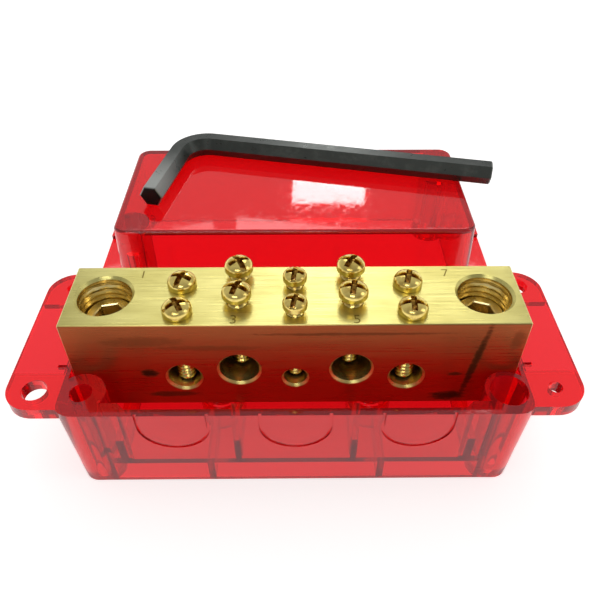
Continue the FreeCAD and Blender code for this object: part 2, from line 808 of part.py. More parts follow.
def make_hex_key():
    """The hexagon key: one bar bent through a right angle, lying on the cover's roof."""
    body = new_body("hex_key")
    path = new_sketch(body, "key_path")
    bend = size.key_bend
    long_end = size.key_long_arm
    short_end = size.key_short_arm
    axis = Vector(0, 0, 1)
    long_arm = path.addGeometry(Part.LineSegment(
        Vector(long_end.number, 0, 0), Vector(bend.number, 0, 0)))
    corner = Part.Circle(Vector(bend.number, -bend.number, 0), axis, bend.number)
    curve = path.addGeometry(Part.ArcOfCircle(corner, math.pi / 2, math.pi))
    short_arm = path.addGeometry(Part.LineSegment(
        Vector(0, -bend.number, 0), Vector(0, -short_end.number, 0)))
    path.addConstraint(Sketcher.Constraint("Tangent", long_arm, 2, curve, 1))
    path.addConstraint(Sketcher.Constraint("Tangent", curve, 2, short_arm, 1))
    path.addConstraint(Sketcher.Constraint("Vertical", short_arm))
    path.addConstraint(Sketcher.Constraint("PointOnObject", long_arm, 2, X_LINE))
    bind_dimension(path, "Radius", (curve,), bend)
    pin_point(path, long_arm, 1, long_end, 0)
    pin_point(path, short_arm, 2, 0, -short_end)
    section = new_sketch(body, "key_section", long_end, role="YZ_Plane")
    draw_hexagon(section, size.socket_width)
    sweep = body.newObject("PartDesign::AdditivePipe", "key_sweep")
    sweep.Profile = section
    sweep.Spine = (path, ["Edge1", "Edge2", "Edge3"])
    ends = (long_end.number, -short_end.number)

    def at_an_end(edge):
        box = edge.BoundBox
        flat_long = abs(box.XMin - ends[0]) < 1e-4 and abs(box.XMax - ends[0]) < 1e-4
        flat_short = abs(box.YMin - ends[1]) < 1e-4 and abs(box.YMax - ends[1]) < 1e-4
        return flat_long or flat_short

    finish_edges(body, "Chamfer", sweep, at_an_end, size.key_end_bevel)
    place(body, size.key_corner_x, size.key_corner_y, size.cover_height + size.socket_width / 2)
    clockwise = Rotation(Vector(0, 0, -1), size.key_turn.number)
    body.Placement = Placement(body.Placement.Base, clockwise)
    body.setExpression(".Placement.Rotation.Angle", size.key_turn.text)
    return body


def check(bodies):
    """Stops if anything in the document failed or a piece is not one sound solid."""
    for item in doc.Objects:
        if "Invalid" in item.State or "Error" in item.State:
            raise RuntimeError(f"{item.Name} failed: {item.State}")
    for body in bodies:
        shape = body.Shape
        if shape.isNull() or not shape.isValid() or len(shape.Solids) != 1:
            raise RuntimeError(f"{body.Label} is not one sound solid")


def main():
    pieces = [make_link_bar(), make_base(), make_cover(), make_hex_key()]
    pieces += make_clamp_screws() + make_mains_screws() + make_bar_fixing_screws()
    doc.recompute()
    check(pieces)
    os.makedirs(PARTS_FOLDER, exist_ok=True)
    for body in pieces:
        body.Shape.exportStep(f"{PARTS_FOLDER}/{body.Label}.step")
        box = body.Shape.BoundBox
        print(f"{body.Label}: volume {body.Shape.Volume:.1f}, "
              f"x {box.XMin:.2f}..{box.XMax:.2f}, y {box.YMin:.2f}..{box.YMax:.2f}, "
              f"z {box.ZMin:.2f}..{box.ZMax:.2f}")


main()
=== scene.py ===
"""Looks of a power distribution block: a drilled brass bar in a clear red case, its cover off.

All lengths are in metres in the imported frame, or in millimetres where a name ends in _mm. +X runs
along the bar, +Y from the base towards the cover, and +Z is up from the surface they stand on.
"""

import logging
import math
from dataclasses import dataclass, field
from enum import Enum

import bpy
import numpy as np
from mathutils import Matrix, Vector


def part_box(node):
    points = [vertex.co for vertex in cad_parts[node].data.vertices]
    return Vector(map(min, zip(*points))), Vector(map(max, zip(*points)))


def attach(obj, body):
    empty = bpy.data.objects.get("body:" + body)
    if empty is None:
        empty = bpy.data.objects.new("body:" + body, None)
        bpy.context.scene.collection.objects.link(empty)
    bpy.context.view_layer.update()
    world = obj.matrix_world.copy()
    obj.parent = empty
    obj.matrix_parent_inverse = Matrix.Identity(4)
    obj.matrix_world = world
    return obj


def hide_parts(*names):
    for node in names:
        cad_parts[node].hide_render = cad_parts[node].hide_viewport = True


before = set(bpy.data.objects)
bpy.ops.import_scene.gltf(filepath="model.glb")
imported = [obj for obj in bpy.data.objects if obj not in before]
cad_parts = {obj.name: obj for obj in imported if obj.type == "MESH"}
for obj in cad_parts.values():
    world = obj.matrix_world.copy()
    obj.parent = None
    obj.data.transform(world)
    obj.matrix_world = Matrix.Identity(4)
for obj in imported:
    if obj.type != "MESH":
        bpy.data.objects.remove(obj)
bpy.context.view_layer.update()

MM = 0.001
ROOT_BODY = "block"
SUNK_SHADE = "sunk_shade"
log = logging.getLogger("scene")


class Slot(Enum):
    """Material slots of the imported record."""

    CASE = "red_polycarbonate"
    BAR = "bar_brass"
    SCREW = "screw_brass"
    KEY = "blackened_steel"


def linear(code: str) -> tuple[float, float, float, float]:
    """Turns an sRGB hex colour into linear light with full alpha.

    Args:
        code: the colour as "#rrggbb".

    Returns:
        Red, green, blue and alpha, each from 0 to 1.
    """
    parts = [int(code[start:start + 2], 16) / 255 for start in (1, 3, 5)]
    light = [part / 12.92 if part <= 0.04045 else ((part + 0.055) / 1.055) ** 2.4 for part in parts]
    return light[0], light[1], light[2], 1.0


def per_metre(size_mm: float) -> float:
    """The texture scale whose features are about that many millimetres apart."""
    return 1.0 / (size_mm * MM)


def add_node(tree: bpy.types.NodeTree, kind: str, inputs: dict | None = None, output: int | str = 0,
             **settings) -> bpy.types.NodeSocket | None:
    """Adds one node, sets it up, and fills or links its inputs.

    Args:
        tree: the node tree.
        kind: the node's type name after "ShaderNode".
        inputs: a value or a socket for each input, by the input's name or number.
        output: the name or number of the output that is wanted.
        settings: the node's own properties.

    Returns:
        The wanted output, or nothing from a node that has none.
    """
    node = tree.nodes.new(f"ShaderNode{kind}")
    for name, value in settings.items():
        setattr(node, name, value)
    for name, value in (inputs or {}).items():
        if isinstance(value, bpy.types.NodeSocket):
            tree.links.new(value, node.inputs[name])
        else:
            node.inputs[name].default_value = value
    return node.outputs[output] if node.outputs else None


def new_material(name: str) -> tuple[bpy.types.Material, bpy.types.NodeTree]:
    """An empty node-based material.

    Args:
        name: the material's name.

    Returns:
        The material and its node tree.
    """
    material = bpy.data.materials.new(name)
    material.use_nodes = True
    tree = material.node_tree
    tree.nodes.clear()
    return material, tree


@dataclass(frozen=True)
class RedPolycarbonate:
    """Clear polycarbonate, dyed red and injection moulded.

    It bends and mirrors what is behind it, deepens towards dark red where the light goes far
    through it, glows a little from the dye within, and has the fine scuffs of handling.
    """

    name: str = "moulded_red_polycarbonate"
    tint: str = "#ff3e50"
    ior: float = 1.585
    shine: float = 0.38
    clear: float = 0.88
    # Each metre takes away the density times what this colour lacks of white
    depth_colour: str = "#fc6f7e"
    density_per_metre: float = 900.0
    shade_tint: str = "#ffb0a8"
    flow_mm: float = 7.0
    flow_depth_mm: float = 0.012
    scuff_mm: float = 1.4
    smooth: float = 0.02
    scuffed: float = 0.16

    def build(self) -> bpy.types.Material:
        """Puts the finish's nodes together.

        Returns:
            The material.
        """
        material, tree = new_material(self.name)
        place = add_node(tree, "TexCoord", output="Object")
        scuff = add_node(tree, "TexNoise", {
            "Vector": place, "Scale": per_metre(self.scuff_mm), "Detail": 4.0, "Roughness": 0.7,
        })
        roughness = add_node(tree, "MapRange", {
            "Value": scuff, "From Min": 0.45, "From Max": 0.8,
            "To Min": self.smooth, "To Max": self.scuffed,
        })
        flow = add_node(tree, "TexNoise", {
            "Vector": place, "Scale": per_metre(self.flow_mm), "Detail": 1.0,
        })
        waves = add_node(tree, "Bump", {"Height": flow, "Distance": self.flow_depth_mm * MM})
        plastic = add_node(tree, "BsdfPrincipled", {
            "Base Color": linear(self.tint), "IOR": self.ior, "Transmission Weight": self.clear,
            "Specular IOR Level": self.shine, "Roughness": roughness, "Normal": waves,
        })
        # Light on its way to or from a dull surface goes straight through, so the shade is red too
        through = add_node(tree, "BsdfTransparent", {"Color": linear(self.shade_tint)})
        rays = add_node(tree, "LightPath").node.outputs
        straight = add_node(tree, "Math", {
            0: rays["Is Shadow Ray"], 1: rays["Is Diffuse Ray"],
        }, operation="MAXIMUM")
        surface = add_node(tree, "MixShader", {0: straight, 1: plastic, 2: through})
        depth = add_node(tree, "VolumeAbsorption", {
            "Color": linear(self.depth_colour), "Density": self.density_per_metre,
        })
        add_node(tree, "OutputMaterial", {"Surface": surface, "Volume": depth})
        return material


def depth_inside(tree: bpy.types.NodeTree, axes: bpy.types.NodeOutputs, low: Vector,
                 high: Vector) -> bpy.types.NodeSocket:
    """How far each place lies within a bar's outer faces.

    The least of its distances from the front, the rear, the top and the nearer end; the bar is
    centred on X = 0.

    Args:
        tree: the material's tree.
        axes: the X, Y and Z of each place.
        low: the lowest corner of the bar's box.
        high: its highest corner.

    Returns:
        The depth in metres.
    """
    from_front = add_node(tree, "Math", {0: axes["Y"], 1: low.y}, operation="SUBTRACT")
    from_rear = add_node(tree, "Math", {0: high.y, 1: axes["Y"]}, operation="SUBTRACT")
    from_top = add_node(tree, "Math", {0: high.z, 1: axes["Z"]}, operation="SUBTRACT")
    aside = add_node(tree, "Math", {0: axes["X"]}, operation="ABSOLUTE")
    from_end = add_node(tree, "Math", {0: high.x, 1: aside}, operation="SUBTRACT")
    across = add_node(tree, "Math", {0: from_front, 1: from_rear}, operation="MINIMUM")
    along = add_node(tree, "Math", {0: from_top, 1: from_end}, operation="MINIMUM")
    return add_node(tree, "Math", {0: across, 1: along}, operation="MINIMUM")


@dataclass(frozen=True)
class Stain:
    """A dark mark on the bar's front face, about a place along it and above the surface."""

    x_mm: float
    z_mm: float
    half_width_mm: float
    half_height_mm: float
    strength: float
    lean: float = 0.0


@dataclass(frozen=True)
class DrawnBrass:
    """Brass bar, drawn to size and brushed along its length.

    Satin, greenish yellow, with long fine scratches that stretch a reflection across them. Its
    front is browner with oxide and with painted shade, and has handling marks; painted shade also
    darkens its bored holes inside. The real grain is under 0.1 mm and is drawn 0.3 mm wide, so that it
    shows.
    """

    name: str = "drawn_brushed_brass"
    colour: str = "#e6dc8c"
    dull: str = "#c4b766"
    # Oxide brown on the front, with painted shade for the darker case and floor that it mirrors
    patina_and_shade: str = "#9c4f2d"
    tarnish: str = "#2a150a"
    # Painted shade deep inside the holes
    bore_shade: str = "#5c4018"
    across_grain: float = 0.75
    grain_mm: tuple[float, float, float] = (22.0, 0.3, 0.3)
    grain_depth_mm: float = 0.025
    cloud_mm: tuple[float, float, float] = (14.0, 5.0, 5.0)
    torn_mm: tuple[float, float, float] = (3.0, 3.0, 0.9)
    # How much of the dull colour the clouds and the scratches carry, and of patina with painted shade the
    # front
    dull_share: float = 0.6
    patina_and_shade_share: float = 0.96
    bore_shade_share: float = 0.9
    bright_roughness: float = 0.24
    dull_roughness: float = 0.4
    mark_roughness: float = 0.25
    # The front's patina and painted shade are whole to the first depth behind the front face, and gone at
    # the second
    patina_and_shade_mm: tuple[float, float] = (0.02, 0.2)
    # Painted shade in the holes spares their mouths for the first millimetre or two
    mouth_mm: tuple[float, float] = (1.2, 4.0)
    # A mark is darkest where its sum is below the first number, and gone past the second
    mark_fade: tuple[float, float] = (0.2, 1.5)
    raggedness: float = 3.4
    stains: tuple[Stain, ...] = (
        Stain(40.0, 29.5, 0.9, 12.5, 0.8, lean=0.13),
        Stain(-32.8, 26.4, 2.0, 1.3, 0.9),
        Stain(-28.5, 19.0, 6.0, 1.0, 0.6),
        Stain(35.5, 17.8, 4.0, 1.6, 0.85),
        Stain(36.0, 25.5, 1.6, 0.6, 0.7),
        Stain(12.0, 38.6, 22.0, 0.45, 0.45),
        Stain(-33.0, 36.5, 9.0, 1.6, 0.3),
        Stain(-18.0, 34.5, 12.0, 0.8, 0.3),
        Stain(48.0, 36.5, 1.5, 3.0, 0.35),
    )

    def front_marks(self, tree: bpy.types.NodeTree, axes: bpy.types.NodeOutputs,
                    ragged: bpy.types.NodeSocket) -> bpy.types.NodeSocket:
        """How dark each place of the front face is, from 0 to 1.

        A mark is an ellipse, leaning along X as it rises, whose edge is moved by ragged noise:
        ((x - x0 - lean (z - z0)) / a)^2 + ((z - z0) / b)^2 + noise, faded out about 1.

        Args:
            tree: the material's tree.
            axes: the X, Y and Z of each place.
            ragged: noise about 0 that breaks up the edges.

        Returns:
            The marks' darkness.
        """
        total = None
        for stain in self.stains:
            above = add_node(tree, "Math", {0: axes["Z"], 1: stain.z_mm * MM}, operation="SUBTRACT")
            middle = add_node(tree, "Math", {0: above, 1: stain.lean, 2: stain.x_mm * MM},
                              operation="MULTIPLY_ADD")
            along = add_node(tree, "Math", {0: axes["X"], 1: middle}, operation="SUBTRACT")
            place = add_node(tree, "CombineXYZ", {"X": along, "Y": above})
            scaled = add_node(tree, "Mapping", {
                "Vector": place,
                "Scale": (per_metre(stain.half_width_mm), per_metre(stain.half_height_mm), 1.0),
            })
            reach = add_node(tree, "VectorMath", {0: scaled, 1: scaled}, "Value", operation="DOT_PRODUCT")
            spread = add_node(tree, "Math", {0: reach, 1: ragged}, operation="ADD")
            mark = add_node(tree, "MapRange", {
                "Value": spread, "From Min": self.mark_fade[0], "From Max": self.mark_fade[1],
                "To Min": stain.strength, "To Max": 0.0,
            }, interpolation_type="SMOOTHSTEP")
            if total is None:
                total = mark
            else:
                total = add_node(tree, "Math", {0: total, 1: mark}, operation="MAXIMUM")
        return total

    def build(self, low: Vector, high: Vector) -> bpy.types.Material:
        """Puts the finish's nodes together.

        Args:
            low: the lowest corner of the bar's box.
            high: its highest corner.

        Returns:
            The material.
        """
        material, tree = new_material(self.name)
        place = add_node(tree, "TexCoord", output="Object")
        axes = add_node(tree, "SeparateXYZ", {"Vector": place}).node.outputs
        lines = add_node(tree, "Mapping", {
            "Vector": place, "Scale": tuple(map(per_metre, self.grain_mm)),
        })
        grain = add_node(tree, "TexNoise", {
            "Vector": lines, "Scale": 1.0, "Detail": 4.0, "Roughness": 0.65,
        })
        wide = add_node(tree, "Mapping", {
            "Vector": place, "Scale": tuple(map(per_metre, self.cloud_mm)),
        })
        clouds = add_node(tree, "TexNoise", {"Vector": wide, "Scale": 1.0, "Detail": 3.0})
        torn = add_node(tree, "Mapping", {
            "Vector": place, "Scale": tuple(map(per_metre, self.torn_mm)),
        })
        frayed = add_node(tree, "TexNoise", {
            "Vector": torn, "Scale": 1.0, "Detail": 6.0, "Roughness": 0.75,
        })
        ragged = add_node(tree, "Math", {
            0: frayed, 1: self.raggedness, 2: -self.raggedness / 2,
        }, operation="MULTIPLY_ADD")

        cloudy = add_node(tree, "MapRange", {
            "Value": clouds, "From Min": 0.35, "From Max": 0.7, "To Max": self.dull_share,
        })
        worn = add_node(tree, "Mix", {0: cloudy, 6: linear(self.colour), 7: linear(self.dull)}, 2,
                        data_type="RGBA")
        lined = add_node(tree, "MapRange", {
            "Value": grain, "From Min": 0.54, "From Max": 0.7, "To Max": self.dull_share,
        })
        brushed = add_node(tree, "Mix", {0: lined, 6: worn, 7: linear(self.dull)}, 2, data_type="RGBA")

        # Painted shade with patina: the front face is browned as a whole
        at_front = add_node(tree, "MapRange", {
            "Value": axes["Y"], "From Min": low.y + self.patina_and_shade_mm[0] * MM,
            "From Max": low.y + self.patina_and_shade_mm[1] * MM, "To Min": 1.0, "To Max": 0.0,
        })
        browned_and_shaded = add_node(tree, "Math", {0: at_front, 1: self.patina_and_shade_share}, operation="MULTIPLY")
        aged_and_shaded = add_node(tree, "Mix", {0: browned_and_shaded, 6: brushed, 7: linear(self.patina_and_shade)}, 2,
                        data_type="RGBA")
        marks = self.front_marks(tree, axes, ragged)
        front_marks = add_node(tree, "Math", {0: marks, 1: at_front}, operation="MULTIPLY")
        marked = add_node(tree, "Mix", {0: front_marks, 6: aged_and_shaded, 7: linear(self.tarnish)}, 2,
                          data_type="RGBA")
        # Painted shade: the brass darkens further inside the holes
        bore = add_node(tree, "MapRange", {
            "Value": depth_inside(tree, axes, low, high), "From Min": self.mouth_mm[0] * MM,
            "From Max": self.mouth_mm[1] * MM, "To Max": self.bore_shade_share,
        }, interpolation_type="SMOOTHSTEP")
        colour = add_node(tree, "Mix", {0: bore, 6: marked, 7: linear(self.bore_shade)}, 2,
                          data_type="RGBA")

        polish = add_node(tree, "MapRange", {
            "Value": grain, "From Min": 0.3, "From Max": 0.7,
            "To Min": self.bright_roughness, "To Max": self.dull_roughness,
        })
        roughness = add_node(tree, "Math", {
            0: front_marks, 1: self.mark_roughness, 2: polish,
        }, operation="MULTIPLY_ADD")
        scratches = add_node(tree, "Bump", {"Height": grain, "Distance": self.grain_depth_mm * MM})
        along = add_node(tree, "CombineXYZ", {"X": 1.0})
        shader = add_node(tree, "BsdfPrincipled", {
            "Base Color": colour, "Metallic": 1.0, "Roughness": roughness, "Normal": scratches,
            "Anisotropic": self.across_grain, "Anisotropic Rotation": 0.25, "Tangent": along,
        })
        add_node(tree, "OutputMaterial", {"Surface": shader})
        return material


@dataclass(frozen=True)
class TurnedBrass:
    """Brass screw, turned and tumbled: bright and warm, with soft dents, and painted shade in its
    recesses.
    """

    name: str = "turned_brass"
    colour: str = "#f7de82"
    tarnish: str = "#b8913c"
    # The colour of painted shade in recesses, sockets and thread roots
    sunk_shade: str = "#957030"
    film_mm: float = 2.6
    film_share: float = 0.8
    dent_mm: float = 0.9
    dent_depth_mm: float = 0.045
    low_roughness: float = 0.12
    high_roughness: float = 0.28

    def build(self) -> bpy.types.Material:
        """Puts the finish's nodes together; the piece's attribute tells how far a place is sunk, which
        sets its painted shade.

        Returns:
            The material.
        """
        material, tree = new_material(self.name)
        place = add_node(tree, "TexCoord", output="Object")
        dents = add_node(tree, "TexNoise", {"Vector": place, "Scale": per_metre(self.dent_mm)})
        film = add_node(tree, "TexNoise", {
            "Vector": place, "Scale": per_metre(self.film_mm), "Detail": 4.0, "Roughness": 0.6,
        })
        filmed = add_node(tree, "MapRange", {
            "Value": film, "From Min": 0.45, "From Max": 0.75, "To Max": self.film_share,
        })
        skin = add_node(tree, "Mix", {0: filmed, 6: linear(self.colour), 7: linear(self.tarnish)}, 2,
                        data_type="RGBA")
        # Painted shade: the further a place is sunk, the more of the dark colour it takes
        sunk_shade = add_node(tree, "Attribute", output="Fac", attribute_name=SUNK_SHADE)
        colour = add_node(tree, "Mix", {0: sunk_shade, 6: skin, 7: linear(self.sunk_shade)}, 2, data_type="RGBA")
        roughness = add_node(tree, "MapRange", {
            "Value": film, "From Min": 0.35, "From Max": 0.7,
            "To Min": self.low_roughness, "To Max": self.high_roughness,
        })
        bumps = add_node(tree, "Bump", {"Height": dents, "Distance": self.dent_depth_mm * MM})
        shader = add_node(tree, "BsdfPrincipled", {
            "Base Color": colour, "Metallic": 1.0, "Roughness": roughness, "Normal": bumps,
        })
        add_node(tree, "OutputMaterial", {"Surface": shader})
        return material


@dataclass(frozen=True)
class BlackOxideSteel:
    """Hardened steel key with a chemical black finish: dark, faintly oily, rubbed to grey in places.

    Its short arm is paler towards the end from handling, and its cut end face is darkest.
    """

    name: str = "black_oxide_steel"
    colour: str = "#3c403c"
    rubbed: str = "#575a55"
    handled: str = "#a2a4a0"
    cut: str = "#1e1f1d"
    rub_mm: float = 5.0
    rubbed_share: float = 0.7
    handled_share: float = 0.85
    metal_share: float = 0.6
    oily_roughness: float = 0.24
    dry_roughness: float = 0.4
    grain_mm: float = 0.5
    grain_depth_mm: float = 0.015
    # The short arm points along this direction and ends this far along it
    arm_direction: tuple[float, float, float] = (-0.2062, -0.9785, 0.0)
    arm_end_mm: float = -39.4
    handled_mm: float = 24.0
    full_from_end_mm: float = 3.0
    # How far before the arm's end the cut face's colour starts, and is whole
    cut_mm: tuple[float, float] = (0.35, 0.1)

    def build(self) -> bpy.types.Material:
        """Puts the finish's nodes together.

        Returns:
            The material.
        """
        material, tree = new_material(self.name)
        place = add_node(tree, "TexCoord", output="Object")
        rub = add_node(tree, "TexNoise", {
            "Vector": place, "Scale": per_metre(self.rub_mm), "Detail": 6.0, "Roughness": 0.7,
        })
        grain = add_node(tree, "TexNoise", {"Vector": place, "Scale": per_metre(self.grain_mm)})
        thin = add_node(tree, "MapRange", {
            "Value": rub, "From Min": 0.52, "From Max": 0.78, "To Max": self.rubbed_share,
        })
        skin = add_node(tree, "Mix", {0: thin, 6: linear(self.colour), 7: linear(self.rubbed)}, 2,
                        data_type="RGBA")
        shine = add_node(tree, "MapRange", {
            "Value": rub, "From Min": 0.3, "From Max": 0.7,
            "To Min": self.oily_roughness, "To Max": self.dry_roughness,
        })
        reach = add_node(tree, "VectorMath", {0: place, 1: self.arm_direction}, "Value",
                         operation="DOT_PRODUCT")
        near_end = add_node(tree, "MapRange", {
            "Value": reach, "From Min": (self.arm_end_mm - self.handled_mm) * MM,
            "From Max": (self.arm_end_mm - self.full_from_end_mm) * MM, "To Max": self.handled_share,
        }, interpolation_type="SMOOTHSTEP")
        paler = add_node(tree, "Mix", {0: near_end, 6: skin, 7: linear(self.handled)}, 2,
                         data_type="RGBA")
        at_cut = add_node(tree, "MapRange", {
            "Value": reach, "From Min": (self.arm_end_mm - self.cut_mm[0]) * MM,
            "From Max": (self.arm_end_mm - self.cut_mm[1]) * MM,
        })
        colour = add_node(tree, "Mix", {0: at_cut, 6: paler, 7: linear(self.cut)}, 2, data_type="RGBA")
        bumps = add_node(tree, "Bump", {"Height": grain, "Distance": self.grain_depth_mm * MM})
        shader = add_node(tree, "BsdfPrincipled", {
            "Base Color": colour, "Metallic": self.metal_share, "Roughness": shine, "Normal": bumps,
        })
        add_node(tree, "OutputMaterial", {"Surface": shader})
        return material


def grid_faces(rows: int, columns: int, closed_rows: bool = False) -> np.ndarray:
    """Quads of a grid whose columns run round and join, facing out when rows rise.

    Args:
        rows: how many rows of points there are.
        columns: how many points each row has.
        closed_rows: whether the last row also joins the first.

    Returns:
        One line of four point numbers for each quad.
    """
    lower = np.arange(rows if closed_rows else rows - 1)[:, None]
    column = np.arange(columns)[None, :]
    upper = (lower + 1) % rows
    following = (column + 1) % columns
    corners = [lower * columns + column, lower * columns + following,
               upper * columns + following, upper * columns + column]
    return np.stack([corner.ravel() for corner in corners], axis=1)


@dataclass
class Shell:
    """A closed surface: points in millimetres, faces, and how far each point is sunk (0 to 1), which sets
    its painted shade.
    """

    points: np.ndarray
    faces: list
    sunk_shade: np.ndarray

    def joined(self, other: "Shell") -> "Shell":
        """This shell and another as one.

        Args:
            other: the shell whose points come after this one's.

        Returns:
            The joined shell.
        """
        count = len(self.points)
        moved = [[number + count for number in face] for face in other.faces]
        return Shell(np.vstack([self.points, other.points]), self.faces + moved,
                     np.concatenate([self.sunk_shade, other.sunk_shade]))


def object_from(name: str, shell: Shell, place_mm: tuple[float, float, float], body: str,
                material: bpy.types.Material, sharp_deg: float = 35.0) -> bpy.types.Object:
    """A smooth piece that rides on a body, its edges sharp past an angle.

    Args:
        name: the piece's name.
        shell: its surface about its own origin.
        place_mm: where that origin lies.
        body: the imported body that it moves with.
        material: its finish.
        sharp_deg: edges that turn more than this stay sharp.

    Returns:
        The new object.
    """
    mesh = bpy.data.meshes.new(name)
    mesh.from_pydata(((shell.points + np.array(place_mm)) * MM).tolist(), [], shell.faces)
    mesh.attributes.new(SUNK_SHADE, "FLOAT", "POINT").data.foreach_set("value", shell.sunk_shade)
    mesh.polygons.foreach_set("use_smooth", np.ones(len(mesh.polygons), bool))
    mesh.set_sharp_from_angle(angle=math.radians(sharp_deg))
    mesh.materials.append(material)
    piece = bpy.data.objects.new(name, mesh)
    bpy.context.scene.collection.objects.link(piece)
    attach(piece, body)
    return piece


def closed_lathe(radius: np.ndarray, height: np.ndarray, angle: np.ndarray, sunk_shade: np.ndarray) -> Shell:
    """A closed surface about the upright axis: (r cos a, r sin a, z), its end rows drawn to points.

    Args:
        radius: the radius at each row and column, rows first.
        height: the height at each row and column.
        angle: the angle of each column in radians.
        sunk_shade: how far each place is sunk, from 0 to 1, which sets its painted shade.

    Returns:
        The surface.
    """
    rows, columns = radius.shape
    ring = np.stack([radius * np.cos(angle), radius * np.sin(angle), height], axis=2)[1:-1]
    poles = np.array([[0.0, 0.0, height[0].mean()], [0.0, 0.0, height[-1].mean()]])
    points = np.vstack([ring.reshape(-1, 3), poles])
    column = np.arange(columns)
    following = (column + 1) % columns
    last = (rows - 3) * columns
    bottom = np.stack([np.full(columns, len(points) - 2), following, column], axis=1)
    top = np.stack([np.full(columns, len(points) - 1), last + column, last + following], axis=1)
    faces = grid_faces(rows - 2, columns).tolist() + bottom.tolist() + top.tolist()
    depth = np.concatenate([sunk_shade[1:-1].ravel(), [sunk_shade[0].mean(), sunk_shade[-1].mean()]])
    return Shell(points, faces, depth)


def ridge(turns: np.ndarray) -> np.ndarray:
    """Height of a V thread from 0 at its root to 1 at its crest, one ridge for each whole turn."""
    return 1.0 - np.abs(2.0 * (turns - np.floor(turns)) - 1.0)


def outline(stretches: list[tuple[float, float, float, float, int]]) -> tuple[np.ndarray, np.ndarray]:
    """Radius and height along a screw's outline.

    Args:
        stretches: for each straight stretch its start radius and height, end radius and height,
            and how many steps it is cut into.

    Returns:
        The radii and the heights, from the first stretch's start to the last one's end.
    """
    radii, heights = [], []
    for start_r, start_z, end_r, end_z, steps in stretches:
        share = np.linspace(0.0, 1.0, steps, endpoint=False)
        radii.append(start_r + (end_r - start_r) * share)
        heights.append(start_z + (end_z - start_z) * share)
    radii.append(np.array([stretches[-1][2]]))
    heights.append(np.array([stretches[-1][3]]))
    return np.concatenate(radii), np.concatenate(heights)


